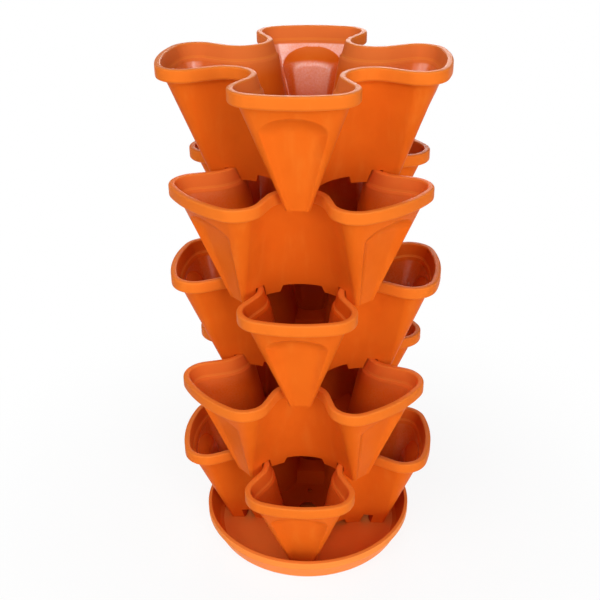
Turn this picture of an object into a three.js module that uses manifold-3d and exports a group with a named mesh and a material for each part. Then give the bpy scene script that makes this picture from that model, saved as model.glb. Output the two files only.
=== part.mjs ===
// Planter tower: five stacked four-petal tiers on a round drip saucer.
// Millimetres, +Z up, origin at the middle of the saucer's underside.
// Counted from the bottom, the odd tiers have their petals along X and Y and the even ones on the diagonals.

import * as THREE from 'three';
import { mergeVertices } from 'three/addons/utils/BufferGeometryUtils.js';
import Module from 'manifold-3d';

const wasm = await Module();
wasm.setup();

// The stack
const tier_names = ['bottom_tier', 'second_tier', 'middle_tier', 'fourth_tier', 'top_tier'];
const petal_count = 4;
const seat_gap = 0.3;

// Rim of a tier, seen from above
const rim_reach = 152.4;
const rim_end_radius = 149.5;
const rim_corner_radius = 28.8;
const rim_corner_offset = 33.9;
const rim_saddle_depth = 77.2;
const rim_saddle_radius = 27.5;

// Rim of a tier, in section: a broad band whose inside leans in towards the shoulder of the wall
const rim_height = 13.5;
const lip_width = 6.4;
const rim_root_setback = 7.2;
const collar_drop = 14.8;
const collar_setback = 9.8;
const wall_drop = 18.6;
const wall_setback = 11.2;

// Foot of a tier, seen from above
const foot_reach = 99.2;
const foot_end_radius = 400;
const foot_corner_radius = 3.8;
const foot_corner_offset = 8.9;
const foot_saddle_depth = 42.4;
const foot_saddle_radius = 60;

// Height and wall of a tier
const tier_height = 131;
const wall_thickness = 1.8;
const shoulder_share = 0.65;
const least_corner_share = 0.2;
const bay_limit_share = 0.98;

// Floor of a tier, with a hump in each petal that passes over the rim of the tier below
const floor_height = 11;
const riser_foot = 46.5;
const riser_head = 56.4;
const hump_clearance = 8.2;
const hole_radius = 10.5;
const drain_radius = 3;
const drain_distance = 33.5;

// Slots that sit on the rim of the tier below, and the notches between them
const slot_height = 15;
const slot_clearance = 1.5;
const tab_clearance = 1.8;
const notch_cover = 1;
const notch_foot_half_width = 24.5;
const notch_head_half_width = 21.3;
const notch_length = 26;

// Arched panel pressed into the end of each petal
const panel_half_width = 31.5;
const panel_foot_half_width = 10;
const panel_spring_drop = 42;
const panel_arch_drop = 24;
const panel_shelf_drop = 14.4;
const panel_spring_shelf_drop = 4;
const panel_side_inset = 6;
const panel_foot_side_inset = 1.2;
const panel_depth = 10.8;
const panel_foot_depth = 1.2;

// Drip saucer
const saucer_clearance = 11.2;
const saucer_spread = 15;
const saucer_height = 33.5;
const saucer_rim_height = 9;
const saucer_rim_width = 5;
const saucer_floor = 3;
const saucer_wall = 2.6;
const saucer_foot_rise = 5;
const saucer_foot_flare = 5;
const saucer_step = 2.4;

// How far a cutting solid runs past what it cuts
const overrun = 4;

// Steps in each arc of an outline
const end_steps = 2;
const corner_steps = 5;
const bay_steps = 3;
const arch_steps = 8;
const hole_steps = 16;
const drain_steps = 8;
const saucer_steps = 64;

const terracotta = { color: 0xe4641c, roughness: 0.45, metalness: 0 };

const rim_plan = {
  reach: rim_reach,
  end: rim_end_radius,
  corner: rim_corner_radius,
  offset: rim_corner_offset,
  depth: rim_saddle_depth,
  bay: rim_saddle_radius,
};

const foot_plan = {
  reach: foot_reach,
  end: foot_end_radius,
  corner: foot_corner_radius,
  offset: foot_corner_offset,
  depth: foot_saddle_depth,
  bay: foot_saddle_radius,
};

// Points of an arc, without its last one
function arc(centre, radius, from, to, steps) {
  const points = [];
  for (let i = 0; i < steps; i += 1) {
    const angle = from + ((to - from) * i) / steps;
    points.push(new THREE.Vector2(Math.cos(angle), Math.sin(angle)).multiplyScalar(radius).add(centre));
  }
  return points;
}

// Four-petal outline with a petal on +X, drawn inwards by an inset
function petal_outline(plan, inset = 0) {
  const reach = plan.reach - inset;
  const end = plan.end - inset;
  const corner = Math.max(plan.corner - inset, plan.corner * least_corner_share);
  const depth = plan.depth - inset;
  const end_centre = new THREE.Vector2(reach - end, 0);
  const corner_run = Math.sqrt(Math.max((end - corner) ** 2 - plan.offset ** 2, 0));
  const corner_centre = new THREE.Vector2(end_centre.x + corner_run, plan.offset);
  const bay_turn = Math.PI / petal_count;
  const diagonal = new THREE.Vector2(Math.cos(bay_turn), Math.sin(bay_turn));
  const saddle = diagonal.clone().multiplyScalar(depth);
  const room = corner_centre.distanceTo(saddle) ** 2 - corner ** 2;
  const bay_limit = room / (2 * (corner_centre.dot(diagonal) - depth + corner));
  const bay = Math.min(plan.bay + inset, bay_limit * bay_limit_share);
  const bay_centre = diagonal.clone().multiplyScalar(depth + bay);
  const across = bay_centre.clone().sub(corner_centre);
  const corner_start = Math.atan2(plan.offset, corner_run);
  const corner_stop = across.angle() - Math.acos((corner + bay) / across.length());
  const half_petal = [
    ...arc(end_centre, end, 0, corner_start, end_steps),
    ...arc(corner_centre, corner, corner_start, corner_stop, corner_steps),
    new THREE.Vector2(Math.cos(corner_stop), Math.sin(corner_stop)).multiplyScalar(corner).add(corner_centre),
    ...arc(bay_centre, bay, corner_stop + Math.PI, bay_turn + Math.PI, bay_steps),
  ];
  const mirrored = half_petal.slice(1).reverse().map((point) => {
    const along = diagonal.clone().multiplyScalar(2 * point.dot(diagonal));
    return along.sub(point);
  });
  const petal = [...half_petal, saddle, ...mirrored];
  const points = [];
  for (let i = 0; i < petal_count; i += 1) {
    points.push(...petal.map((point) => point.clone().rotateAround(new THREE.Vector2(), 2 * i * bay_turn)));
  }
  return points;
}

// Outline of the tier below, whose petals lie between these
function outline_below(inset) {
  const turn = Math.PI / petal_count;
  return petal_outline(rim_plan, inset).map((point) => point.rotateAround(new THREE.Vector2(), turn));
}

function ring(outline, height) {
  return outline.map((point) => new THREE.Vector3(point.x, point.y, height));
}

// Closed skin over rings of equal count, capped at both ends; flatten draws a ring on paper for its cap
function skin(rings, flatten = (point) => new THREE.Vector2(point.x, point.y)) {
  const count = rings[0].length;
  const points = rings.flat();
  const faces = [];
  for (let level = 0; level < rings.length - 1; level += 1) {
    for (let i = 0; i < count; i += 1) {
      const a = level * count + i;
      const b = level * count + ((i + 1) % count);
      faces.push([a, b, b + count], [a, b + count, a + count]);
    }
  }
  const last = (rings.length - 1) * count;
  const foot_cap = THREE.ShapeUtils.triangulateShape(rings[0].map(flatten), []);
  const head_cap = THREE.ShapeUtils.triangulateShape(rings[rings.length - 1].map(flatten), []);
  const turns_left = THREE.ShapeUtils.area(rings[0].map(flatten)) > 0;
  for (const [a, b, c] of foot_cap) {
    faces.push(turns_left ? [c, b, a] : [a, b, c]);
  }
  for (const [a, b, c] of head_cap) {
    faces.push(turns_left ? [a + last, b + last, c + last] : [c + last, b + last, a + last]);
  }
  let volume = 0;
  for (const [a, b, c] of faces) {
    volume += points[a].dot(points[b].clone().cross(points[c]));
  }
  const geometry = new THREE.BufferGeometry().setFromPoints(points);
  geometry.setIndex(faces.flatMap((face) => (volume < 0 ? face.reverse() : face)));
  return geometry;
}

function solid_of(geometry) {
  const bare = geometry.clone();
  bare.deleteAttribute('normal');
  bare.deleteAttribute('uv');
  const merged = mergeVertices(bare);
  const vertProperties = new Float32Array(merged.attributes.position.array);
  const triVerts = new Uint32Array(merged.index.array);
  return new wasm.Manifold(new wasm.Mesh({ numProp: 3, vertProperties, triVerts }));
}

function geometry_of(solid) {
  const mesh = solid.getMesh();
  const geometry = new THREE.BufferGeometry();
  geometry.setAttribute('position', new THREE.BufferAttribute(mesh.vertProperties, 3));
  geometry.setIndex(new THREE.BufferAttribute(mesh.triVerts, 1));
  geometry.computeVertexNormals();
  return geometry;
}

function upright_prism(outline, from, to) {
  return solid_of(skin([ring(outline, from), ring(outline, to)]));
}

// The same cutter once for each petal, turned about the tower's axis
function around_petals(geometry, first_turn = 0) {
  const copies = [];
  for (let i = 0; i < petal_count; i += 1) {
    const turn = first_turn + (i * 2 * Math.PI) / petal_count;
    copies.push(solid_of(geometry.clone().rotateZ(turn)));
  }
  return copies;
}

// Radius of the wall's end face on the middle of a petal
const wall_head = tier_height - wall_drop;
const wall_slope = (rim_reach - wall_setback - foot_reach) / wall_head;
function wall_reach(height) {
  return foot_reach + wall_slope * height;
}

function outer_body() {
  return solid_of(skin([
    ring(petal_outline(foot_plan), 0),
    ring(petal_outline(rim_plan, wall_setback), wall_head),
    ring(petal_outline(rim_plan, rim_root_setback), tier_height - rim_height),
    ring(petal_outline(rim_plan), tier_height - rim_height),
    ring(petal_outline(rim_plan), tier_height),
  ]));
}

function inner_space() {
  const inside_foot = petal_outline(foot_plan, wall_thickness);
  const lean = (collar_setback - lip_width) / collar_drop;
  return solid_of(skin([
    ring(inside_foot, -overrun),
    ring(inside_foot, 0),
    ring(petal_outline(rim_plan, wall_setback + wall_thickness), wall_head + wall_thickness * shoulder_share),
    ring(petal_outline(rim_plan, collar_setback), tier_height - collar_drop),
    ring(petal_outline(rim_plan, lip_width - lean * overrun), tier_height + overrun),
  ]));
}

const hump_height = slot_height + wall_thickness + hump_clearance;

// Block with a sloping face towards the axis, laid across one petal up to a given height
function hump_block(foot, head, floor, top) {
  const side = new THREE.Shape([
    new THREE.Vector2(foot, -overrun),
    new THREE.Vector2(foot, floor),
    new THREE.Vector2(head, top),
    new THREE.Vector2(rim_reach, top),
    new THREE.Vector2(rim_reach, -overrun),
  ]);
  const width = 2 * rim_saddle_depth;
  const block = new THREE.ExtrudeGeometry(side, { depth: width, bevelEnabled: false });
  return block.translate(0, 0, -width / 2).rotateX(Math.PI / 2);
}

// Everything under the inside of the floor: the flat middle and the humps, within the rim of the tier below
function under_floor(reach, slope_shift, drop) {
  const within = upright_prism(outline_below(-reach), -overrun, tier_height);
  const middle = upright_prism(outline_below(-reach), -overrun, floor_height - drop);
  const humps = around_petals(hump_block(
    riser_foot + slope_shift,
    riser_head + slope_shift,
    floor_height - drop,
    hump_height - drop,
  ));
  return within.intersect(humps.reduce((all, hump) => all.add(hump), middle));
}

// Arched cutter for the end of the petal on +X: the pressed-in face, its edge on the wall and a run outwards
function panel_cutter(growth) {
  const shelf_head = tier_height - panel_arch_drop - panel_shelf_drop;
  const face_foot = foot_reach - panel_foot_depth;
  const face_slope = (wall_reach(shelf_head) - panel_depth - face_foot) / shelf_head;
  const rows = [
    {
      half: panel_half_width - panel_side_inset,
      foot: panel_foot_half_width - panel_foot_side_inset,
      spring: tier_height - panel_spring_drop - panel_spring_shelf_drop,
      head: shelf_head,
      reach: (height) => face_foot + face_slope * height - growth,
    },
    {
      half: panel_half_width,
      foot: panel_foot_half_width,
      spring: tier_height - panel_spring_drop,
      head: tier_height - panel_arch_drop,
      reach: (height) => wall_reach(height),
    },
    {
      half: panel_half_width,
      foot: panel_foot_half_width,
      spring: tier_height - panel_spring_drop,
      head: tier_height - panel_arch_drop,
      reach: (height) => wall_reach(height) + overrun,
    },
  ];
  const rings = rows.map((row) => {
    const points = [
      new THREE.Vector2(-row.foot - growth, -overrun),
      new THREE.Vector2(row.foot + growth, -overrun),
    ];
    for (let i = 0; i <= arch_steps; i += 1) {
      const angle = (Math.PI * i) / arch_steps;
      const rise = (row.head - row.spring + growth) * Math.sin(angle);
      points.push(new THREE.Vector2((row.half + growth) * Math.cos(angle), row.spring + rise));
    }
    return points.map((point) => new THREE.Vector3(row.reach(point.y), point.x, point.y));
  });
  return skin(rings, (point) => new THREE.Vector2(point.y, point.z));
}

// The band of space that the rim below takes up, which slots the sides of each petal
function slot_ring() {
  const lean = (collar_setback - lip_width) / collar_drop;
  const tab_head = lip_width + tab_clearance;
  const tab_foot = tab_head + lean * (slot_height + overrun);
  const inside = solid_of(skin([
    ring(outline_below(tab_foot), -overrun),
    ring(outline_below(tab_head), slot_height),
    ring(outline_below(tab_head), slot_height + overrun),
  ]));
  return upright_prism(outline_below(-slot_clearance), -overrun, slot_height).subtract(inside);
}

// Tapered notch in the wall between two petals, across the X axis before it is turned
function notch_cutter() {
  const notch_height = floor_height - wall_thickness - notch_cover;
  const shape = new THREE.Shape([
    new THREE.Vector2(-notch_foot_half_width, -overrun),
    new THREE.Vector2(notch_foot_half_width, -overrun),
    new THREE.Vector2(notch_foot_half_width, 0),
    new THREE.Vector2(notch_head_half_width, notch_height),
    new THREE.Vector2(-notch_head_half_width, notch_height),
    new THREE.Vector2(-notch_foot_half_width, 0),
  ]);
  const cutter = new THREE.ExtrudeGeometry(shape, { depth: notch_length, bevelEnabled: false });
  const start = foot_saddle_depth - notch_length / 2;
  return cutter.rotateX(Math.PI / 2).rotateZ(Math.PI / 2).translate(start, 0, 0);
}

function upright_cylinder(radius, steps) {
  const height = floor_height + 2 * overrun;
  return new THREE.CylinderGeometry(radius, radius, height, steps).rotateX(Math.PI / 2);
}

// One moulded tier, standing on z = 0
function tier_geometry() {
  const panels = around_petals(panel_cutter(0));
  const bumps = around_petals(panel_cutter(wall_thickness));
  const drain = upright_cylinder(drain_radius, drain_steps).translate(drain_distance, 0, floor_height);
  const tip_floor = upright_prism(petal_outline(rim_plan), -2 * overrun, wall_thickness);
  const kept = under_floor(slot_clearance + wall_thickness, 0, 0);
  let space = inner_space().subtract(kept).subtract(tip_floor);
  space = bumps.reduce((rest, bump) => rest.subtract(bump), space);
  const recess = inner_space().intersect(under_floor(slot_clearance, wall_thickness, wall_thickness));
  const cutters = [
    space,
    recess,
    slot_ring(),
    ...panels,
    ...around_petals(notch_cutter(), Math.PI / petal_count),
    ...around_petals(drain),
    solid_of(upright_cylinder(hole_radius, hole_steps).translate(0, 0, floor_height)),
  ];
  return geometry_of(cutters.reduce((body, cutter) => body.subtract(cutter), outer_body()));
}

// Turned dish with a broad rim and a rounded foot
function saucer_geometry() {
  const foot = foot_reach + saucer_clearance + saucer_wall;
  const rim = foot + saucer_spread;
  const step = rim - saucer_step;
  const step_height = saucer_height - saucer_rim_height;
  const inside_rim = rim - saucer_rim_width;
  const inside_foot = foot + saucer_foot_flare - saucer_wall;
  const profile = [
    new THREE.Vector2(0, 0),
    new THREE.Vector2(foot, 0),
    new THREE.Vector2(foot + saucer_foot_flare, saucer_foot_rise),
    new THREE.Vector2(step, step_height),
    new THREE.Vector2(rim, step_height),
    new THREE.Vector2(rim, saucer_height),
    new THREE.Vector2(inside_rim, saucer_height),
    new THREE.Vector2(step - saucer_wall, step_height),
    new THREE.Vector2(inside_foot, saucer_foot_rise),
    new THREE.Vector2(foot - saucer_wall, saucer_floor),
    new THREE.Vector2(0, saucer_floor),
  ];
  return new THREE.LatheGeometry(profile, saucer_steps).rotateX(Math.PI / 2);
}

function moulding(name, geometry) {
  const mesh = new THREE.Mesh(geometry, new THREE.MeshStandardMaterial(terracotta));
  mesh.name = name;
  return mesh;
}

const tower = new THREE.Group();
tower.add(moulding('drip_saucer', geometry_of(solid_of(saucer_geometry()))));

const tier_pitch = tier_height - slot_height + seat_gap;
const tier_shape = tier_geometry();
tier_names.forEach((name, index) => {
  const tier = moulding(name, tier_shape);
  tier.position.z = saucer_floor + seat_gap + index * tier_pitch;
  tier.rotation.z = index % 2 === 0 ? 0 : Math.PI / petal_count;
  tower.add(tier);
});

export default tower;
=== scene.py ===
"""Stacked planter tower: five lobed tiers of moulded plastic on a round drip saucer.

Laid out as an add-on and run as a script. Lengths are metres, +Z is up and the tower stands on z = 0.
"""

import math
from typing import NamedTuple

import bpy
import numpy as np
from mathutils import Matrix, Vector


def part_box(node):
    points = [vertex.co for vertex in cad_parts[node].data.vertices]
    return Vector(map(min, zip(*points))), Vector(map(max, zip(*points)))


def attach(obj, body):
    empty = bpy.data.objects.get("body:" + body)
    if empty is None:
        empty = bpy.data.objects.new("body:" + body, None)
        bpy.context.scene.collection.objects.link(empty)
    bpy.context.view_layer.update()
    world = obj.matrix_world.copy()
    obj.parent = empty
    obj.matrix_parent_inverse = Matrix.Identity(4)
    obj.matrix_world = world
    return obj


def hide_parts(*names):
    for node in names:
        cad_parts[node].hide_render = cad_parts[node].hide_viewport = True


bl_info = {
    "name": "Planter Tower",
    "version": (1, 0, 0),
    "blender": (4, 5, 0),
    "location": "View3D > Sidebar > Planter",
    "description": "Builds the moulded tiers, the drip saucer and the studio stage of a planter tower",
    "category": "Add Mesh",
}

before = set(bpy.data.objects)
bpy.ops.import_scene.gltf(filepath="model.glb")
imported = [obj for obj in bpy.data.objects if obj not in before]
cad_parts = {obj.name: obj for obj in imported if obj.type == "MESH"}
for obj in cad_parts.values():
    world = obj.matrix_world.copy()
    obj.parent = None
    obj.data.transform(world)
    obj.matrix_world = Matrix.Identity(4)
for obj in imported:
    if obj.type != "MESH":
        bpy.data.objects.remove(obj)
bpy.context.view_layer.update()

# The tiers from the lowest up, how much painted light pales the mouth of each one, and how much painted shade
# darkens its inside
TIERS = ("bottom_tier", "second_tier", "middle_tier", "fourth_tier", "top_tier")
INSIDE_LIGHTS = (0.3, 0.55, 0.0, 0.65, 0.9)
INSIDE_SHADES = (0.35, 0.0, 0.6, 0.0, 0.0)
TIER_LOW, TIER_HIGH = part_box("top_tier")
SAUCER_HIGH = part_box("drip_saucer")[1]

PETALS = 4
HALF_TURN = math.pi / PETALS

# Points along each stretch of an outline and each rounded edge, and rings up the wall
END_STEPS = 30
CORNER_STEPS = 24
SIDE_STEPS = 4
BAY_STEPS = 10
EDGE_STEPS = 5
WALL_LEVELS = 10
ARCH_LEVELS = 44
HEAD_LEVELS = 3
SAUCER_STEPS = 168
HOLE_STEPS = 48
DRAIN_STEPS = 24

# From the wall's last ring to the one below it, which keeps the bend above them crisp
HEAD_RING = 0.0006

# How far the inner edge of the saucer's rim stands over the packed one, and the share of the step under the rim
# by which its edges are rounded
RIM_RISE = 0.002
STEP_EDGE_SHARE = 1 / 3

# The least angle between two faces that shades as a sharp edge
SHARP_ANGLE = math.radians(32)

# Limits that keep an inset outline smooth
LEAST_CORNER_SHARE = 0.2
BAY_LIMIT_SHARE = 0.98

# Times that the search for a place in the panel's border is halved, and the share that counts as outside it
BORDER_HALVINGS = 18
BORDER_START = 1e-4

# How far a cutting solid runs past what it cuts
OVERRUN = 0.004

# From the axis to the root of a lobe
LOBE_ROOT = 0.045

# Where a surface starts and ends to face away from a lobe's root, to face the axis, to be level and to lean,
# and where the inside passes from a lobe's end to its sides
FROM_ROOT = (0.001, 0.006)
TO_AXIS = (0.3, 0.6)
LEVEL = (0.6, 0.9)
LEANING = (0.45, 0.6)
LOBE_SIDES = (0.0875, 0.15)

# Widths over which one finish passes into the next
BAND_BLUR = 0.0006
SKIN_BLUR = 0.002

# Detail and roughness of each noise, and the middle of its values
CLOUD_NOISE = (4, 0.55)
FLOW_NOISE = (3, 0.6)
SPECK_NOISE = (2, 0.5)
RUB_NOISE = (4, 0.65)
GRAIN_NOISE = (2, 0.6)
WAVE_NOISE = (2, 0.5)
NOISE_MIDDLE = 0.5

# Parts of each noise that show
CLOUD_RANGE = (0.35, 0.68)
FLOW_RANGE = (0.5, 0.8)
SPECK_RANGE = (0.62, 0.8)

# Stretch of the flow marks down the wall, and the way and the steps by which the pieces' clouds are shifted
FLOW_STRETCH = (1, 1, 0.12)
SHIFT_WAY = (1, 1.7, 2.3)
TIER_SHIFT = 1.3
SAUCER_SHIFT = 9

# Sockets of the Mix node that are for colours
MIX_SHARE, MIX_FIRST, MIX_SECOND, MIX_RESULT = 0, 6, 7, 2

SENSOR_WIDTH = 36
WHITE = (1, 1, 1)

# Lamps: name, degrees from the front towards the right, degrees above level, watts, side in metres
SOFTBOXES = (
    ("right_low", 30, 7, 60, 1.6),
    ("right_high", 30, 35, 37, 1.6),
    ("left_high", -30, 65, 33, 1.6),
    ("left_middle", -30, 35, 23, 1.6),
    ("left_low", -55, 8, 11.5, 1.6),
    ("left_wide", -60, 35, 9, 1.6),
    ("left_side", -90, 35, 11, 1.6),
    ("right_wide", 62, 8, 5, 1.6),
    ("right_side", 85, 30, 1.5, 1.6),
    ("front", -4, 32, 19, 1.36),
    ("back", 180, 18, 55, 1.6),
)


def length(name, description, default):
    """A length that shows in the sidebar in the scene's units."""
    return bpy.props.FloatProperty(
        name=name, description=description, default=default, unit="LENGTH", precision=5
    )


def share(name, description, default):
    """A share from 0 to 1."""
    return bpy.props.FloatProperty(name=name, description=description, default=default, min=0, max=1)


def number(name, description, default):
    """A plain number, such as a noise scale or a strength."""
    return bpy.props.FloatProperty(name=name, description=description, default=default, precision=4)


def colour(name, description, default):
    """A colour in linear light."""
    return bpy.props.FloatVectorProperty(
        name=name, description=description, default=default, size=3, subtype="COLOR", min=0, max=1
    )


class RimOutline(bpy.types.PropertyGroup):
    """The four-lobed outline of a tier's rim, seen from above"""

    reach: length("Reach", "From the axis to the middle of a lobe's end", TIER_HIGH.x)
    end_radius: length("End Radius", "Radius of the shallow curve across a lobe's end", 0.1495)
    corner_radius: length("Corner Radius", "Radius of a lobe's corners", 0.0288)
    corner_offset: length("Corner Offset", "From a lobe's middle to the centre of its corner", 0.0339)
    bay_depth: length("Bay Depth", "From the axis to the bay between two lobes", 0.0772)
    bay_radius: length("Bay Radius", "Radius of the bay between two lobes", 0.0275)


class FootOutline(bpy.types.PropertyGroup):
    """The star-shaped outline of a tier's foot, seen from above"""

    reach: length("Reach", "From the axis to the tip of the star", 0.0992)
    end_radius: length("End Radius", "Radius of the curve across a tip", 0.4)
    corner_radius: length("Corner Radius", "Radius of a tip's corners", 0.0038)
    corner_offset: length("Corner Offset", "From a tip's middle to the centre of its corner", 0.0089)
    bay_depth: length("Bay Depth", "From the axis to the bay between two tips", 0.0424)
    bay_radius: length("Bay Radius", "Radius of the bay between two tips", 0.06)


class TierSizes(bpy.types.PropertyGroup):
    """Heights, setbacks and walls of one tier"""

    height: length("Height", "From the foot to the top of the lip", TIER_HIGH.z - TIER_LOW.z)
    wall: length("Wall", "Thickness of the wall", 0.0018)
    band_height: length("Band Height", "Height of the broad band round the rim", 0.0135)
    lip_width: length("Lip Width", "Width of the flat lip on top of the band", 0.0064)
    band_root_setback: length("Band Root Setback", "From the band's face to the joggle under it", 0.0072)
    collar_drop: length("Collar Drop", "From the lip down to the end of the leaning collar inside", 0.0148)
    collar_setback: length("Collar Setback", "From the band's face to the end of the collar", 0.0108)
    wall_drop: length("Wall Drop", "From the lip down to the head of the wall", 0.0186)
    wall_setback: length("Wall Setback", "From the band's face to the head of the wall", 0.0112)
    shoulder_share: share("Shoulder Share", "Rise of the inner shoulder, as a share of the wall", 0.65)
    band_edge: length("Band Edge", "Rounding of the band's lower edge", 0.0026)
    lip_edge: length("Lip Edge", "Rounding of the lip's outer edge", 0.0019)
    lip_inner_edge: length("Lip Inner Edge", "Rounding of the lip's inner edge", 0.0016)
    collar_edge: length("Collar Edge", "Rounding where the collar meets the shoulder", 0.0007)
    floor_height: length("Floor Height", "Height of the floor's middle", 0.011)
    riser_foot: length("Riser Foot", "From the axis to the foot of the riser in each lobe", 0.0465)
    riser_head: length("Riser Head", "From the axis to the head of the riser", 0.0564)
    hump_height: length("Hump Height", "Height of the hump over the rim below", 0.025)
    hole_radius: length("Hole Radius", "Radius of the hole in the floor's middle", 0.0105)
    drain_radius: length("Drain Radius", "Radius of the small drain holes", 0.003)
    drain_distance: length("Drain Distance", "From the axis to a drain hole", 0.0335)
    slot_height: length("Slot Height", "Height of the slots over the rim below", 0.015)
    slot_clearance: length("Slot Clearance", "Room outside the rim below", 0.0015)
    tab_clearance: length("Tab Clearance", "Room inside the rim below", 0.0018)
    notch_height: length("Notch Height", "Height of the notch between two lobes", 0.0082)
    notch_foot: length("Notch Foot", "Half the notch's width at its foot", 0.0245)
    notch_head: length("Notch Head", "Half the notch's width at its head", 0.0213)
    notch_run: length("Notch Run", "Length of the cut that makes the notch", 0.026)


class PanelSizes(bpy.types.PropertyGroup):
    """The arched panel pressed into the end of each lobe"""

    half_width: length("Half Width", "Half the panel's width where the arch springs", 0.0325)
    foot_half_width: length("Foot Half Width", "Half the panel's width at the foot", 0.01)
    spring_drop: length("Spring Drop", "From the lip down to the springing of the arch", 0.042)
    arch_drop: length("Arch Drop", "From the lip down to the top of the arch", 0.024)
    shelf_drop: length("Shelf Drop", "From the top of the arch to the top of the flat face", 0.0185)
    spring_shelf_drop: length("Spring Shelf Drop", "From the springing to that of the flat face", 0.006)
    side_inset: length("Side Inset", "Width of the sloping sides", 0.014)
    foot_side_inset: length("Foot Side Inset", "Width of the sloping sides at the foot", 0.004)
    depth: length("Depth", "Depth of the flat face at its top", 0.0108)
    foot_depth: length("Foot Depth", "Depth of the flat face at the foot", 0.0012)
    ease_share: share("Ease Share", "How much the shelf rounds off into the face", 0.95)


class SaucerSizes(bpy.types.PropertyGroup):
    """The round drip saucer"""

    rim_radius: length("Rim Radius", "From the axis to the rim's face", SAUCER_HIGH.x)
    height: length("Height", "Height of the saucer", SAUCER_HIGH.z + RIM_RISE)
    foot_radius: length("Foot Radius", "From the axis to the edge of the underside", 0.1125)
    foot_rise: length("Foot Rise", "Height of the rounded foot", 0.005)
    foot_flare: length("Foot Flare", "Width of the rounded foot", 0.005)
    rim_height: length("Rim Height", "Height of the broad rim", 0.0085)
    rim_width: length("Rim Width", "Width of the rim's top", 0.0046)
    rim_fall: length("Rim Fall", "How far the rim's top falls towards its outer edge", 0.0018)
    rim_edge: length("Rim Edge", "Rounding of the rim's outer edges", 0.0009)
    rim_inner_edge: length("Rim Inner Edge", "Rounding of the rim's inner edges", 0.0009)
    step: length("Step", "Depth of the step under the rim", 0.0006)
    floor: length("Floor", "Thickness of the floor", 0.003)
    wall: length("Wall", "Thickness of the wall", 0.0026)
    bend: length("Bend", "Rounding between the floor and the wall", 0.006)


class PlasticLook(bpy.types.PropertyGroup):
    """Colours and finish of the moulded plastic"""

    body: colour("Body", "The plastic's own colour", (0.79, 0.142, 0.010))
    deep: colour("Deep", "Where the pigment lies thicker", (0.75, 0.127, 0.0085))
    # Pale is the flow marks' own paler colour, and on the broad band it is painted light
    pale: colour("Pale", "Where the pigment lies thinner", (0.82, 0.198, 0.023))
    # The edges' paler colour is partly handling wear and partly painted highlight along the rounded edges; the
    # line under the collar is painted highlight only
    worn_and_highlight: colour("Worn", "Edges that handling has lightened", (0.86, 0.24, 0.04))
    # Painted shade: a darker colour laid deep inside the pockets, on the saucer's floor and over the inside of
    # tiers that stand in shade, in place of the shade that falls there
    hollow_shade: colour("Hollow", "Deep inside, where the pigment lies thickest", (0.55, 0.06, 0.004))
    # Painted light: the upper inside of each tier is painted paler where light reaches into it
    mouth: colour("Mouth", "The upper part of the inside, where the pigment lies thinner", (0.80, 0.185, 0.040))
    saucer: colour("Saucer", "The saucer's outside", (0.96, 0.275, 0.052))
    # Painted light: the broad band is painted paler where it catches the light
    band_light: share("Band Fade", "How much paler the broad band is", 0.55)
    saucer_fade: share("Saucer Fade", "How much paler the saucer's outside is", 1.0)
    # Painted shade on the saucer's floor, under the tiers
    saucer_shade: share("Saucer Hollow", "How much deeper the saucer's floor is", 0.42)
    # Heights over which the painted shade deep inside fades out
    hollow_start: length("Hollow Start", "Height below which the inside is deepest", 0.02)
    hollow_height: length("Hollow Height", "Height up to which the inside deepens", 0.095)
    # How far the edges' paler colour reaches: partly wear, partly painted highlight
    edge_width: length("Edge Width", "How far the wear reaches from an edge", 0.0022)
    lower_edge_width: length("Lower Edge Width", "How far the wear reaches from the band's lower edge", 0.0015)
    # Painted highlight: a thin pale line where the collar meets the inner wall
    crease_width: length("Crease Width", "How far up and down the pale line under the collar reaches", 0.0008)
    crease_highlight: share("Crease Wear", "Strength of the pale line under the collar", 0.7)
    gloss: share("Gloss", "Level of the gloss", 0.025)
    ior: number("IOR", "Refraction of the plastic", 1.49)
    sheen: colour("Sheen", "Tint of the gloss, which stays white only at a glancing view", (1.0, 0.5, 0.2))
    inner_gloss: share("Inner Gloss", "Strength of the smooth skin inside", 1.0)
    inner_spread: number("Inner Spread", "How much the strength of that skin wanders", 1.5)
    inner_ior: number("Inner IOR", "Refraction of the smooth skin inside", 1.95)
    inner_roughness: share("Inner Roughness", "Roughness of the smooth skin inside", 0.3)
    roughness: share("Roughness", "Roughness of the satin surface", 0.4)
    hollow_roughness: share("Hollow Roughness", "How much rougher the surface is deep inside", 0.3)
    roughness_spread: share("Roughness Spread", "How much the roughness wanders", 0.14)
    cloud_scale: number("Cloud Scale", "Pigment clouds to the metre", 16)
    flow_scale: number("Flow Scale", "Flow marks to the metre", 60)
    grain_scale: number("Grain Scale", "Grains of the mould's texture to the metre", 1500)
    grain_depth: length("Grain Depth", "Depth of the mould's texture", 0.00006)
    speck_scale: number("Speck Scale", "Specks to the metre", 500)
    speck_share: share("Speck Share", "How much deeper the specks are", 0.12)
    flow_share: share("Flow Share", "How much paler the flow marks are", 0.4)
    # The edges are painted paler, partly as wear and partly as painted highlight
    wear: share("Wear", "How much paler the edges are", 0.6)
    wear_spread: share("Wear Spread", "How much the wear wanders", 0.5)
    rub_scale: number("Rub Scale", "Rubbed places to the metre", 120)
    wave_scale: number("Wave Scale", "Slow waves of the wall to the metre", 22)
    wave_depth: length("Wave Depth", "Depth of the slow waves", 0.0007)


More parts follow.
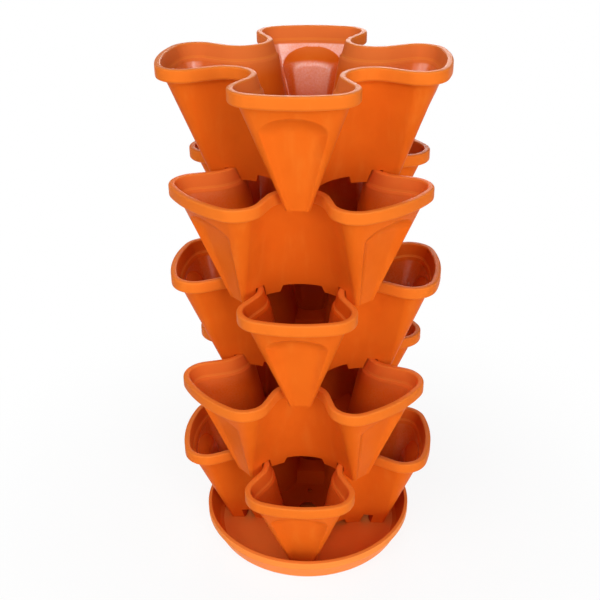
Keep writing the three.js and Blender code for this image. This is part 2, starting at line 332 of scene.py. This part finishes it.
class StageLook(bpy.types.PropertyGroup):
    """Floor, lamps and camera"""

    camera_place: bpy.props.FloatVectorProperty(
        name="Camera Place",
        description="Where the camera stands",
        default=(0.078384, -0.995813, 0.838583),
        size=3,
        subtype="TRANSLATION",
        unit="LENGTH",
        precision=5,
    )
    camera_turn: bpy.props.FloatVectorProperty(
        name="Camera Turn",
        description="How the camera is turned",
        default=tuple(math.radians(angle) for angle in (62.4531, 0.6571, 4.5575)),
        size=3,
        subtype="EULER",
        precision=5,
    )
    lens: number("Lens", "Focal length in millimetres on a sensor 36 mm wide", 58.3703)
    floor_size: length("Floor Size", "Side of the floor", 16)
    lamp_power: number("Lamp Power", "Factor on the power of every lamp", 1)
    lamp_distance: length("Lamp Distance", "From the tower's middle to each lamp", 4)
    sky: share("Sky", "Strength of the even light all round", 0.02)
    floor_glow: share("Floor Glow", "Share of the floor's white that doesn't depend on the lamps", 0.88)
    shade_near: length("Shade Near", "From the axis to where the floor's shade starts to fade", 0.15)
    shade_far: length("Shade Far", "From the axis to where the floor is plain white", 0.6)


def arc(centre, radius, start, stop, steps):
    """Points of an arc, without its last one."""
    angles = np.linspace(start, stop, steps, endpoint=False)
    return np.asarray(centre) + radius * np.column_stack([np.cos(angles), np.sin(angles)])


def half_petal(plan, inset=0.0):
    """Half a lobe's outline, from the middle of its end on +X to the bay's middle, drawn in by an inset."""
    reach = plan.reach - inset
    end = plan.end_radius - inset
    corner = max(plan.corner_radius - inset, plan.corner_radius * LEAST_CORNER_SHARE)
    depth = plan.bay_depth - inset
    run = math.sqrt(max((end - corner) ** 2 - plan.corner_offset**2, 0))
    corner_centre = np.array([reach - end + run, plan.corner_offset])
    diagonal = np.array([math.cos(HALF_TURN), math.sin(HALF_TURN)])
    saddle = diagonal * depth
    room = np.sum((corner_centre - saddle) ** 2) - corner**2
    bay_limit = room / (2 * (corner_centre @ diagonal - depth + corner))
    bay = min(plan.bay_radius + inset, bay_limit * BAY_LIMIT_SHARE)
    bay_centre = diagonal * (depth + bay)
    across = bay_centre - corner_centre
    start = math.atan2(plan.corner_offset, run)
    stop = math.atan2(across[1], across[0]) - math.acos((corner + bay) / math.hypot(*across))
    corner_end = corner_centre + corner * np.array([math.cos(stop), math.sin(stop)])
    bay_start = bay_centre - bay * np.array([math.cos(stop), math.sin(stop)])
    return np.vstack([
        arc((reach - end, 0), end, 0, start, END_STEPS),
        arc(corner_centre, corner, start, stop, CORNER_STEPS),
        np.linspace(corner_end, bay_start, SIDE_STEPS, endpoint=False),
        arc(bay_centre, bay, stop + math.pi, HALF_TURN + math.pi, BAY_STEPS),
        [saddle],
    ])


def turned_by(points, angle):
    """Points on the plan, turned about the axis."""
    cos, sin = math.cos(angle), math.sin(angle)
    return points @ np.array([[cos, sin], [-sin, cos]])


def whole_outline(half, turn=0.0):
    """The closed outline of all lobes from half a lobe."""
    diagonal = np.array([math.cos(HALF_TURN), math.sin(HALF_TURN)])
    mirrored = 2 * np.outer(half @ diagonal, diagonal) - half
    petal = np.vstack([half, mirrored[-2:0:-1]])
    return np.vstack([turned_by(petal, turn + 2 * i * HALF_TURN) for i in range(PETALS)])


def ring(outline, height):
    """An outline lifted to a height."""
    return np.column_stack([outline, np.full(len(outline), height)])


def rounded(corners, radii):
    """A polyline whose inner corners are rounded by the radii given for them, 0 leaving one sharp."""
    points = [np.asarray(corners[0], float)]
    for before, at, after, radius in zip(corners, corners[1:], corners[2:], radii):
        before, at, after = (np.asarray(p, float) for p in (before, at, after))
        if radius <= 0:
            points.append(at)
            continue
        back = (before - at) / np.linalg.norm(before - at)
        on = (after - at) / np.linalg.norm(after - at)
        half_angle = math.acos(np.clip(back @ on, -1, 1)) / 2
        setback = radius / math.tan(half_angle)
        middle = (back + on) / np.linalg.norm(back + on) * radius / math.sin(half_angle)
        centre = at + middle
        first = at + back * setback - centre
        last = at + on * setback - centre
        sweep = math.pi - 2 * half_angle
        for step in range(EDGE_STEPS + 1):
            t = step / EDGE_STEPS
            blend = (math.sin((1 - t) * sweep) * first + math.sin(t * sweep) * last) / math.sin(sweep)
            points.append(centre + blend)
    points.append(np.asarray(corners[-1], float))
    return np.array(points)


def mesh_from(name, vertices, faces):
    """A new mesh with its faces pointing outwards."""
    mesh = bpy.data.meshes.new(name)
    mesh.from_pydata([tuple(v) for v in vertices], [], faces)
    mesh.validate()
    volume = 0.0
    for polygon in mesh.polygons:
        corners = [mesh.vertices[i].co for i in polygon.vertices]
        for a, b in zip(corners[1:], corners[2:]):
            volume += corners[0].dot(a.cross(b))
    if volume < 0:
        mesh.flip_normals()
    return mesh


def skinned(name, rings, wrapped=False):
    """A closed mesh over rings of equal count: wrapped round like a tyre, or else capped at both ends."""
    count = len(rings[0])
    levels = len(rings)
    faces = []
    for level in range(levels if wrapped else levels - 1):
        low = level * count
        high = ((level + 1) % levels) * count
        for i in range(count):
            j = (i + 1) % count
            faces.append((low + i, low + j, high + j, high + i))
    if not wrapped:
        faces.append(tuple(range(count))[::-1])
        faces.append(tuple(range((levels - 1) * count, levels * count)))
    return mesh_from(name, np.vstack(rings), faces)


def upright_prism(name, outline, low, high):
    """A plain prism over an outline."""
    return skinned(name, [ring(outline, low), ring(outline, high)])


def upright_cylinder(name, centre, radius, low, high, steps):
    """A round cutter on the axis or beside it."""
    return upright_prism(name, arc(centre, radius, 0, math.tau, steps), low, high)


def evaluated(obj, name):
    """The mesh that an object shows once its modifiers have run."""
    graph = bpy.context.evaluated_depsgraph_get()
    mesh = bpy.data.meshes.new_from_object(obj.evaluated_get(graph))
    mesh.name = name
    return mesh


def combined(name, first, steps):
    """A mesh joined with, cut by or kept within others, given as pairs of an operation and a mesh."""
    collection = bpy.context.scene.collection
    body = bpy.data.objects.new(name, first)
    collection.objects.link(body)
    tools = []
    for operation, mesh in steps:
        tool = bpy.data.objects.new(mesh.name, mesh)
        collection.objects.link(tool)
        tools.append(tool)
        modifier = body.modifiers.new(operation, "BOOLEAN")
        modifier.operation = operation
        modifier.solver = "MANIFOLD"
        modifier.object = tool
    bpy.context.view_layer.update()
    result = evaluated(body, name)
    for obj in (body, *tools):
        used = obj.data
        bpy.data.objects.remove(obj)
        bpy.data.meshes.remove(used)
    if not result.polygons:
        raise RuntimeError(f"{name}: a boolean step left nothing")
    return result


class TierShape:
    """The surfaces of one tier, standing on z = 0 with a lobe on +X, from the sizes in the sidebar."""

    def __init__(self, scene):
        self.rim = scene.planter_rim
        self.foot = scene.planter_foot
        self.tier = scene.planter_tier
        self.panel = scene.planter_panel
        self.wall_head = self.tier.height - self.tier.wall_drop
        self.wall_slope = (self.rim.reach - self.tier.wall_setback - self.foot.reach) / self.wall_head

    def wall_reach(self, height):
        """Radius of the wall's end on the middle of a lobe."""
        return self.foot.reach + self.wall_slope * height

    def panel_share(self, across, height, growth):
        """How far into the panel's sloping border each place lies, from 0 on its edge to 1 on its flat face."""
        p = self.panel
        top = self.tier.height
        edge = (p.half_width, p.foot_half_width, top - p.spring_drop, top - p.arch_drop)
        face = (
            p.half_width - p.side_inset,
            p.foot_half_width - p.foot_side_inset,
            top - p.spring_drop - p.spring_shelf_drop,
            top - p.arch_drop - p.shelf_drop,
        )
        low = np.zeros(len(across))
        high = np.ones(len(across))
        for _ in range(BORDER_HALVINGS):
            middle = (low + high) / 2
            half, at_foot, spring, head = (a + (b - a) * middle for a, b in zip(edge, face))
            below = at_foot + (half - at_foot) * height / spring
            rise = np.clip((height - spring) / (head + growth - spring), 0, 1)
            above = half * np.sqrt(1 - rise**2)
            inside = across < np.where(height < spring, below, above) + growth * (rise < 1)
            low = np.where(inside, middle, low)
            high = np.where(inside, high, middle)
        return np.where(low < BORDER_START, 0, (low + high) / 2)

    def pressed(self, half, height, growth):
        """The wall's half outline at a height, with the panel pressed into its end."""
        p = self.panel
        face_head = self.tier.height - p.arch_drop - p.shelf_drop
        face_foot = self.foot.reach - p.foot_depth
        slope = (self.wall_reach(face_head) - p.depth - face_foot) / face_head
        face = face_foot + slope * height - growth
        share = self.panel_share(half[:, 1], height, growth)
        share = share + p.ease_share * share * (1 - share)
        moved = half.copy()
        moved[:, 0] = np.minimum(half[:, 0], half[:, 0] + share * (face - half[:, 0]))
        return moved

    def wall_levels(self, head):
        """Heights of the wall's rings, close together where the panel's arch curves."""
        arch_foot = self.tier.height - self.panel.spring_drop - 2 * self.panel.spring_shelf_drop
        arch_head = self.tier.height - self.panel.arch_drop + self.tier.wall
        low = np.linspace(0, arch_foot, WALL_LEVELS, endpoint=False)
        middle = np.linspace(arch_foot, arch_head, ARCH_LEVELS, endpoint=False)
        return np.concatenate([low, middle, np.linspace(arch_head, head - HEAD_RING, HEAD_LEVELS), [head]])

    def wall_rings(self, inset, top):
        """Rings of the wall's surface, drawn inwards by an inset, up to a height."""
        rise = inset * self.tier.shoulder_share
        head = self.wall_head + rise
        foot_half = half_petal(self.foot, inset)
        head_half = half_petal(self.rim, self.tier.wall_setback + inset)
        rings = []
        for height in self.wall_levels(head):
            if height > top:
                break
            half = foot_half + (head_half - foot_half) * height / head
            rings.append(ring(whole_outline(self.pressed(half, height, inset)), height))
        return rings

    def rim_rings(self):
        """Rings over joggle, band, lip and collar, from the outer wall's head to the inner one's."""
        t = self.tier
        corners = [
            (t.wall_setback, self.wall_head),
            (t.band_root_setback, t.height - t.band_height),
            (0, t.height - t.band_height),
            (0, t.height),
            (t.lip_width, t.height),
            (t.collar_setback, t.height - t.collar_drop),
            (t.wall_setback + t.wall, self.wall_head + t.wall * t.shoulder_share),
        ]
        radii = (t.lip_inner_edge / 2, t.band_edge, t.lip_edge, t.lip_inner_edge, t.collar_edge)
        profile = rounded(corners, radii)[1:-1]
        return [ring(whole_outline(half_petal(self.rim, inset)), height) for inset, height in profile]

    def shell(self):
        """The wall with its band and lip, open at the foot."""
        outer = self.wall_rings(0, self.tier.height)
        inner = self.wall_rings(self.tier.wall, self.tier.height)
        return skinned("shell", [*outer, *self.rim_rings(), *reversed(inner)], wrapped=True)

    def below(self, inset):
        """Outline of the tier below, whose lobes lie between these."""
        return whole_outline(half_petal(self.rim, inset), HALF_TURN)

    def hump_block(self, name, turn, shift, floor, top):
        """A block across one lobe, with a riser towards the axis."""
        t = self.tier
        side = [
            (t.riser_foot + shift, -2 * OVERRUN),
            (t.riser_foot + shift, floor),
            (t.riser_head + shift, top),
            (self.rim.reach, top),
            (self.rim.reach, -2 * OVERRUN),
        ]
        half_width = self.rim.bay_depth
        rows = []
        for across in (-half_width, half_width):
            plan = np.array([(along, across) for along, _ in side])
            rows.append(np.column_stack([turned_by(plan, turn), [height for _, height in side]]))
        return skinned(name, rows)

    def under_floor(self, name, reach, shift, drop):
        """All that lies under a floor with humps, within the rim of the tier below."""
        t = self.tier
        floor = t.floor_height - drop
        top = t.hump_height - drop
        blocks = [self.hump_block(f"hump_{i}", 2 * i * HALF_TURN, shift, floor, top) for i in range(PETALS)]
        steps = [("UNION", block) for block in blocks]
        steps.append(("INTERSECT", upright_prism("within", self.below(-reach), -OVERRUN, t.height)))
        return combined(name, upright_prism(name, self.below(-reach), -2 * OVERRUN, floor), steps)

    def floor(self):
        """The floor: flat in the middle, a hump in each lobe over the rim below, and a low tip outside it."""
        t = self.tier
        kept = self.under_floor("floor", t.slot_clearance + t.wall, 0, 0)
        recess = self.under_floor("recess", t.slot_clearance, t.wall, t.wall)
        tips = upright_prism("tips", whole_outline(half_petal(self.rim)), -2 * OVERRUN, t.wall)
        core = skinned("core", self.wall_rings(t.wall / 2, self.wall_head))
        return combined("floor", kept, [("UNION", tips), ("INTERSECT", core), ("DIFFERENCE", recess)])

    def slot_ring(self):
        """The band of space that the rim below takes up."""
        t = self.tier
        lean = (t.collar_setback - t.lip_width) / t.collar_drop
        head = t.lip_width + t.tab_clearance
        foot = head + lean * (t.slot_height + OVERRUN)
        inside = skinned("tabs", [
            ring(self.below(foot), -2 * OVERRUN),
            ring(self.below(head), t.slot_height),
            ring(self.below(head), t.slot_height + OVERRUN),
        ])
        outside = upright_prism("slots", self.below(-t.slot_clearance), -OVERRUN, t.slot_height)
        return combined("slots", outside, [("DIFFERENCE", inside)])

    def notch(self, name, turn):
        """A tapered cutter through the wall between two lobes."""
        t = self.tier
        side = [
            (-t.notch_foot, -OVERRUN),
            (t.notch_foot, -OVERRUN),
            (t.notch_foot, 0),
            (t.notch_head, t.notch_height),
            (-t.notch_head, t.notch_height),
            (-t.notch_foot, 0),
        ]
        rows = []
        for along in (self.foot.bay_depth - t.notch_run / 2, self.foot.bay_depth + t.notch_run / 2):
            plan = np.array([(along, across) for across, _ in side])
            rows.append(np.column_stack([turned_by(plan, turn), [height for _, height in side]]))
        return skinned(name, rows)

    def mesh(self):
        """One whole tier."""
        t = self.tier
        low, high = -OVERRUN, t.floor_height + OVERRUN
        steps = [("UNION", self.floor()), ("DIFFERENCE", self.slot_ring())]
        for i in range(PETALS):
            turn = 2 * i * HALF_TURN
            place = turned_by(np.array([[t.drain_distance, 0]]), turn)[0]
            drain = upright_cylinder(f"drain_{i}", place, t.drain_radius, low, high, DRAIN_STEPS)
            steps.append(("DIFFERENCE", self.notch(f"notch_{i}", turn + HALF_TURN)))
            steps.append(("DIFFERENCE", drain))
        hole = upright_cylinder("hole", (0, 0), t.hole_radius, low, high, HOLE_STEPS)
        steps.append(("DIFFERENCE", hole))
        return combined("tier", self.shell(), steps)


def saucer_mesh(s):
    """The turned saucer, with a rounded foot, a step under its rim and a rounded rim."""
    step = s.rim_radius - s.step
    step_height = s.height - s.rim_fall - s.rim_height
    corners = [
        (0, 0),
        (s.foot_radius, 0),
        (s.foot_radius + s.foot_flare, s.foot_rise),
        (step, step_height),
        (s.rim_radius, step_height),
        (s.rim_radius, s.height - s.rim_fall),
        (s.rim_radius - s.rim_width, s.height),
        (step - s.wall, step_height),
        (s.foot_radius + s.foot_flare - s.wall, s.foot_rise),
        (s.foot_radius - s.wall, s.floor),
        (0, s.floor),
    ]
    foot_bend = s.bend / 2
    step_edge = s.step * STEP_EDGE_SHARE
    edges = (step_edge, step_edge, s.rim_edge, s.rim_inner_edge, s.rim_inner_edge)
    radii = (foot_bend, s.bend, *edges, foot_bend, foot_bend)
    profile = rounded(corners, radii)[1:-1]
    angles = np.linspace(0, math.tau, SAUCER_STEPS, endpoint=False)
    circle = np.column_stack([np.cos(angles), np.sin(angles)])
    return skinned("saucer", [ring(circle * radius, height) for radius, height in profile])


class Flow:
    """A shader value: Python's operators on it add Math nodes."""

    def __init__(self, paint, socket):
        self.paint = paint
        self.socket = socket

    def _math(self, operation, *values):
        """The result of a Math node."""
        return self.paint.add("ShaderNodeMath", {"operation": operation}, dict(enumerate(values))).out()

    def __add__(self, other):
        return self._math("ADD", self, other)

    __radd__ = __add__

    def __mul__(self, other):
        return self._math("MULTIPLY", self, other)

    __rmul__ = __mul__

    def __sub__(self, other):
        return self._math("SUBTRACT", self, other)

    def __rsub__(self, other):
        return self._math("SUBTRACT", other, self)

    def __abs__(self):
        return self._math("ABSOLUTE", self)

    def sign(self):
        """-1 below zero and 1 above it."""
        return self._math("SIGN", self)

    def above(self, other):
        """1 where this is greater than the other, and 0 elsewhere."""
        return self._math("GREATER_THAN", self, other)

    def smooth(self, low, high):
        """0 below low, 1 above high and a smooth rise between."""
        settings = {"interpolation_type": "SMOOTHSTEP", "clamp": True}
        inputs = {"Value": self, "From Min": low, "From Max": high}
        return self.paint.add("ShaderNodeMapRange", settings, inputs).out()


class Added:
    """A node just added, whose outputs are read as values."""

    def __init__(self, paint, node):
        self.paint = paint
        self.node = node

    def out(self, name=0):
        return Flow(self.paint, self.node.outputs[name])


class Paint:
    """The node tree of a material or a world, built one node at a time."""

    def __init__(self, owner):
        self.owner = owner
        owner.use_nodes = True
        self.tree = owner.node_tree
        self.tree.nodes.clear()

    def add(self, kind, settings=None, inputs=None):
        """Adds a node: its settings come first, then the values or links of its sockets."""
        node = self.tree.nodes.new(kind)
        for key, value in (settings or {}).items():
            setattr(node, key, value)
        for key, value in (inputs or {}).items():
            socket = node.inputs[key]
            if isinstance(value, Added):
                value = value.out()
            if isinstance(value, Flow):
                self.tree.links.new(value.socket, socket)
            else:
                socket.default_value = (*value, 1) if socket.type == "RGBA" else value
        return Added(self, node)

    def vector(self, operation, *values):
        """The result of a Vector Math node."""
        return self.add("ShaderNodeVectorMath", {"operation": operation}, dict(enumerate(values))).out()

    def dot(self, first, second):
        """The dot product of two vectors."""
        node = self.add("ShaderNodeVectorMath", {"operation": "DOT_PRODUCT"}, {0: first, 1: second})
        return node.out("Value")

    def parts(self, vector):
        """The x, y and z of a vector."""
        node = self.add("ShaderNodeSeparateXYZ", None, {"Vector": vector})
        return node.out("X"), node.out("Y"), node.out("Z")

    def turned(self, vector, angle):
        """A vector turned about the axis."""
        inputs = {"Vector": vector, "Angle": angle}
        return self.add("ShaderNodeVectorRotate", {"rotation_type": "Z_AXIS"}, inputs).out()

    def noise(self, place, scale, detail, roughness):
        """Noise from 0 to 1 at a place."""
        inputs = {"Vector": place, "Scale": scale, "Detail": detail, "Roughness": roughness}
        return self.add("ShaderNodeTexNoise", {"noise_dimensions": "3D"}, inputs).out("Fac")

    def bump(self, height, depth, more=None):
        """The normals of a relief with a depth."""
        inputs = {"Strength": 1, "Distance": depth, "Height": height, **(more or {})}
        return self.add("ShaderNodeBump", None, inputs)

    def mix(self, share, first, second):
        """A colour between two colours."""
        inputs = {MIX_SHARE: share, MIX_FIRST: first, MIX_SECOND: second}
        return self.add("ShaderNodeMix", {"data_type": "RGBA"}, inputs).out(MIX_RESULT)

    def finish(self, output, surface):
        """Links the surface to the output and gives the material or world."""
        self.add(output, None, {"Surface": surface})
        return self.owner


class Zones(NamedTuple):
    """Where a piece's finish changes, as heights in its own frame, and by how much.

    edges are heights with the width of their paler colour there, partly wear and partly painted highlight.
    band, mouth and skin
    run from one height to another: the outside of the rim, painted paler as painted light; the inside above the
    pockets, painted paler as painted light; and the smooth inner skin. Other shares give painted light and
    shade over the inside.
    """

    edges: list
    band: tuple
    fade: float
    outside: tuple
    mouth: tuple
    inside_light: float
    inside_shade: float
    skin: tuple
    hollow_shade: float
    turn: float


def facing_in(paint, place, normal, turn):
    """1 on what faces into a piece and 0 on what faces out, with the first lobe turned by an angle from +X.

    Surfaces that look straight at the axis face in. In a lobe it is told from a point at the lobe's root.
    """
    radial = paint.vector("NORMALIZE", paint.vector("MULTIPLY", place, (1, 1, 0)))
    to_axis = (0 - paint.dot(normal, radial)).smooth(*TO_AXIS)
    x, y, _ = paint.parts(paint.turned(place, -turn))
    normal_x, normal_y, _ = paint.parts(paint.turned(normal, -turn))
    out_x = x.sign() * normal_x
    out_y = y.sign() * normal_y
    along = out_y + abs(x).above(abs(y)) * (out_x - out_y)
    from_root = x * normal_x + y * normal_y - along * LOBE_ROOT
    return to_axis + (1 - to_axis) * (0 - from_root).smooth(*FROM_ROOT)


def at_lobe_ends(paint, place, turn):
    """1 towards the end of each lobe and 0 towards the bays, with the first lobe turned by an angle from +X."""
    radial = paint.vector("NORMALIZE", paint.vector("MULTIPLY", place, (1, 1, 0)))
    x, y, _ = paint.parts(paint.turned(radial, -turn))
    across = x * y
    return 1 - (across * across).smooth(*LOBE_SIDES)


def moulded_plastic(name, look, zones, shift):
    """Satin plastic from a mould, with a piece's zones of painted light and shade, and clouds that are shifted
    from the other pieces'.
    """
    paint = Paint(bpy.data.materials.new(name))
    coordinates = paint.add("ShaderNodeTexCoord")
    bare = coordinates.out("Object")
    normal = coordinates.out("Normal")
    place = paint.vector("ADD", bare, tuple(shift * part for part in SHIFT_WAY))
    height = paint.parts(bare)[2]
    up = paint.parts(normal)[2]
    inner = facing_in(paint, bare, normal, zones.turn)
    inside = inner + up.smooth(*LEVEL) * (1 - inner)
    # Painted shade: the inside darkens towards the bottom of the pockets
    deep_shade = inside * (1 - height.smooth(look.hollow_start, look.hollow_height)) * zones.hollow_shade
    low, high = zones.skin
    skin = inner * height.smooth(low, look.hollow_height) * (1 - height.smooth(high - SKIN_BLUR, high))
    skin = skin * (1 - up.smooth(*LEANING)) * at_lobe_ends(paint, bare, zones.turn)

    clouds = paint.noise(place, look.cloud_scale, *CLOUD_NOISE)
    streaked = paint.vector("MULTIPLY", place, FLOW_STRETCH)
    flow = paint.noise(streaked, look.flow_scale, *FLOW_NOISE)
    specks = paint.noise(place, look.speck_scale, *SPECK_NOISE)
    rub = paint.noise(place, look.rub_scale, *RUB_NOISE)

    tint = paint.mix(clouds.smooth(*CLOUD_RANGE), look.deep, look.body)
    tint = paint.mix(flow.smooth(*FLOW_RANGE) * look.flow_share, tint, look.pale)
    # Painted light: the outside of the broad band is painted paler, as if lit
    low, high = zones.band
    band = height.smooth(low - BAND_BLUR, low + BAND_BLUR)
    band = band * (1 - height.smooth(high - BAND_BLUR, high + BAND_BLUR))
    tint = paint.mix(band * (1 - inner) * zones.fade, tint, zones.outside)
    # Painted light on the upper inside
    low, high = zones.mouth
    tint = paint.mix(inner * height.smooth(low, high) * zones.inside_light, tint, look.mouth)
    # Painted shade over the whole inside of tiers that stand in shade
    tint = paint.mix(inner * zones.inside_shade, tint, look.hollow_shade)
    # Painted highlight along the crease under the collar
    crease = 1 - abs(height - high).smooth(0.0, look.crease_width)
    tint = paint.mix(inner * crease * look.crease_highlight, tint, look.worn_and_highlight)
    # Edges painted paler: partly handling wear, partly painted highlight
    for edge, width in zones.edges:
        near = 1 - abs(height - edge).smooth(0.0, width)
        tint = paint.mix(near * (look.wear + (rub - NOISE_MIDDLE) * look.wear_spread), tint, look.worn_and_highlight)
    tint = paint.mix(specks.smooth(*SPECK_RANGE) * look.speck_share, tint, look.deep)
    # Painted shade deep inside
    tint = paint.mix(deep_shade, tint, look.hollow_shade)

    uneven = (rub - NOISE_MIDDLE) + (flow - NOISE_MIDDLE)
    grain = paint.noise(place, look.grain_scale, *GRAIN_NOISE)
    waves = paint.noise(place, look.wave_scale, *WAVE_NOISE)
    slow = paint.bump(waves, look.wave_depth)
    shader = paint.add("ShaderNodeBsdfPrincipled", None, {
        "Base Color": tint,
        "Roughness": look.roughness + uneven * look.roughness_spread + deep_shade * look.hollow_roughness,
        "IOR": look.ior,
        "Specular IOR Level": look.gloss,
        "Specular Tint": look.sheen,
        "Coat Weight": skin * look.inner_gloss * (1 + (specks - NOISE_MIDDLE) * look.inner_spread),
        "Coat Roughness": look.inner_roughness,
        "Coat IOR": look.inner_ior,
        "Normal": paint.bump(grain, look.grain_depth, {"Normal": slow}),
    })
    return paint.finish("ShaderNodeOutputMaterial", shader)


def dressed(name, mesh, material):
    """An object from a mesh, smooth but for its sharp edges."""
    mesh.materials.clear()
    mesh.materials.append(material)
    mesh.shade_smooth()
    mesh.set_sharp_from_angle(angle=SHARP_ANGLE)
    obj = bpy.data.objects.new(name, mesh)
    bpy.context.scene.collection.objects.link(obj)
    return obj


class PLANTER_OT_saucer(bpy.types.Operator):
    """Add the drip saucer"""

    bl_idname = "planter.saucer"
    bl_label = "Drip Saucer"

    def execute(self, context):
        sizes = context.scene.planter_saucer
        look = context.scene.planter_plastic
        zones = Zones(
            edges=[(sizes.height, look.edge_width)],
            band=(0, sizes.height),
            fade=look.saucer_fade,
            outside=look.saucer,
            mouth=(0, sizes.height),
            inside_light=0,
            inside_shade=0,
            skin=(sizes.floor, sizes.height),
            # Painted shade on the saucer's floor
            hollow_shade=look.saucer_shade,
            turn=0,
        )
        plastic = moulded_plastic("saucer_plastic", look, zones, SAUCER_SHIFT)
        saucer = dressed("saucer", saucer_mesh(sizes), plastic)
        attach(saucer, "root")
        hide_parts("drip_saucer")
        return {"FINISHED"}


class PLANTER_OT_tiers(bpy.types.Operator):
    """Add the five stacked tiers, each turned by half a lobe from the one below"""

    bl_idname = "planter.tiers"
    bl_label = "Tiers"

    def execute(self, context):
        look = context.scene.planter_plastic
        sizes = context.scene.planter_tier
        shape = TierShape(context.scene).mesh()
        band_foot = sizes.height - sizes.band_height
        collar_foot = sizes.height - sizes.collar_drop
        for index, (node, inside_light, inside_shade) in enumerate(zip(TIERS, INSIDE_LIGHTS, INSIDE_SHADES)):
            turn = HALF_TURN * (index % 2)
            zones = Zones(
                edges=[(sizes.height, look.edge_width), (band_foot, look.lower_edge_width)],
                band=(band_foot, sizes.height),
                fade=look.band_light,
                outside=look.pale,
                mouth=(look.hollow_height, collar_foot),
                inside_light=inside_light,
                inside_shade=inside_shade,
                skin=(sizes.hump_height, sizes.height - sizes.wall_drop + SKIN_BLUR / 2),
                hollow_shade=1,
                turn=turn,
            )
            plastic = moulded_plastic(f"{node}_plastic", look, zones, TIER_SHIFT * index)
            mesh = shape.copy()
            mesh.transform(Matrix.Rotation(turn, 4, "Z"))
            tier = dressed(node.replace("_", "_moulded_"), mesh, plastic)
            tier.location.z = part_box(node)[0].z
            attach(tier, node)
            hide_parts(node)
        bpy.data.meshes.remove(shape)
        return {"FINISHED"}


def background_rays(paint):
    """1 for the rays that show the white background, straight or in a reflection, and 0 for light itself."""
    path = paint.add("ShaderNodeLightPath")
    return path.out("Is Camera Ray") + path.out("Is Glossy Ray") + path.out("Is Transmission Ray")


def white_floor(glow, near, far):
    """A white floor that keeps the tower's shadow: part of its white is its own, and farther out all of it."""
    paint = Paint(bpy.data.materials.new("white_floor"))
    place = paint.add("ShaderNodeTexCoord").out("Object")
    away = paint.add("ShaderNodeVectorMath", {"operation": "LENGTH"}, {0: place})
    own_share = glow + away.out("Value").smooth(near, far) * (1 - glow)
    plain = paint.add("ShaderNodeBsdfDiffuse", None, {"Color": WHITE})
    own = paint.add("ShaderNodeEmission", None, {"Color": WHITE, "Strength": 1})
    mixed = paint.add("ShaderNodeMixShader", None, {0: background_rays(paint) * own_share, 1: plain, 2: own})
    return paint.finish("ShaderNodeOutputMaterial", mixed)


def white_world(strength):
    """Faint even light all round, behind which the background shows as white."""
    paint = Paint(bpy.data.worlds.new("white_world"))
    level = strength + background_rays(paint) * (1 - strength)
    background = paint.add("ShaderNodeBackground", None, {"Color": WHITE, "Strength": level})
    return paint.finish("ShaderNodeOutputWorld", background)


def softbox(name, power, size, distance, turn, lift, target):
    """A soft square lamp aimed at a point, turned from the front towards the right and lifted above level."""
    data = bpy.data.lights.new(name, "AREA")
    data.energy = power
    data.size = size
    obj = bpy.data.objects.new(name, data)
    away = Vector((math.sin(turn) * math.cos(lift), -math.cos(turn) * math.cos(lift), math.sin(lift)))
    obj.location = target + away * distance
    obj.rotation_euler = away.to_track_quat("Z", "Y").to_euler()
    bpy.context.scene.collection.objects.link(obj)


class PLANTER_OT_stage(bpy.types.Operator):
    """Add the floor, the lamps and the camera"""

    bl_idname = "planter.stage"
    bl_label = "Stage"

    def execute(self, context):
        scene = context.scene
        look = scene.planter_stage
        half = look.floor_size / 2
        corners = [(-half, -half, 0), (half, -half, 0), (half, half, 0), (-half, half, 0)]
        mesh = bpy.data.meshes.new("floor")
        mesh.from_pydata(corners, [], [(0, 1, 2, 3)])
        mesh.materials.append(white_floor(look.floor_glow, look.shade_near, look.shade_far))
        floor = bpy.data.objects.new("floor", mesh)
        scene.collection.objects.link(floor)

        scene.world = white_world(look.sky)
        middle = Vector((0, 0, TIER_HIGH.z / 2))
        for name, turn, lift, power, size in SOFTBOXES:
            way = (math.radians(turn), math.radians(lift))
            softbox(name, power * look.lamp_power, size, look.lamp_distance, *way, middle)

        data = bpy.data.cameras.new("camera")
        data.sensor_width = SENSOR_WIDTH
        data.lens = look.lens
        camera = bpy.data.objects.new("camera", data)
        camera.location = look.camera_place
        camera.rotation_euler = look.camera_turn
        scene.collection.objects.link(camera)
        scene.camera = camera
        scene.view_settings.view_transform = "Standard"
        return {"FINISHED"}


class PLANTER_PT_sidebar(bpy.types.Panel):
    """The tower's operators and sizes"""

    bl_label = "Planter Tower"
    bl_idname = "PLANTER_PT_sidebar"
    bl_space_type = "VIEW_3D"
    bl_region_type = "UI"
    bl_category = "Planter"

    def draw(self, context):
        for operator in OPERATORS:
            self.layout.operator(operator.bl_idname)
        for name, group in GROUPS.items():
            box = self.layout.box()
            box.label(text=group.__doc__)
            for key in group.__annotations__:
                box.prop(getattr(context.scene, name), key)


GROUPS = {
    "planter_rim": RimOutline,
    "planter_foot": FootOutline,
    "planter_tier": TierSizes,
    "planter_panel": PanelSizes,
    "planter_saucer": SaucerSizes,
    "planter_plastic": PlasticLook,
    "planter_stage": StageLook,
}
OPERATORS = (PLANTER_OT_saucer, PLANTER_OT_tiers, PLANTER_OT_stage)


def register():
    for group in GROUPS.values():
        bpy.utils.register_class(group)
    for name, group in GROUPS.items():
        setattr(bpy.types.Scene, name, bpy.props.PointerProperty(type=group))
    for kind in (*OPERATORS, PLANTER_PT_sidebar):
        bpy.utils.register_class(kind)


def unregister():
    for kind in (PLANTER_PT_sidebar, *reversed(OPERATORS)):
        bpy.utils.unregister_class(kind)
    for name in GROUPS:
        delattr(bpy.types.Scene, name)
    for group in reversed(GROUPS.values()):
        bpy.utils.unregister_class(group)


def main():
    register()
    bpy.ops.planter.saucer()
    bpy.ops.planter.tiers()
    bpy.ops.planter.stage()


if __name__ == "__main__":
    main()
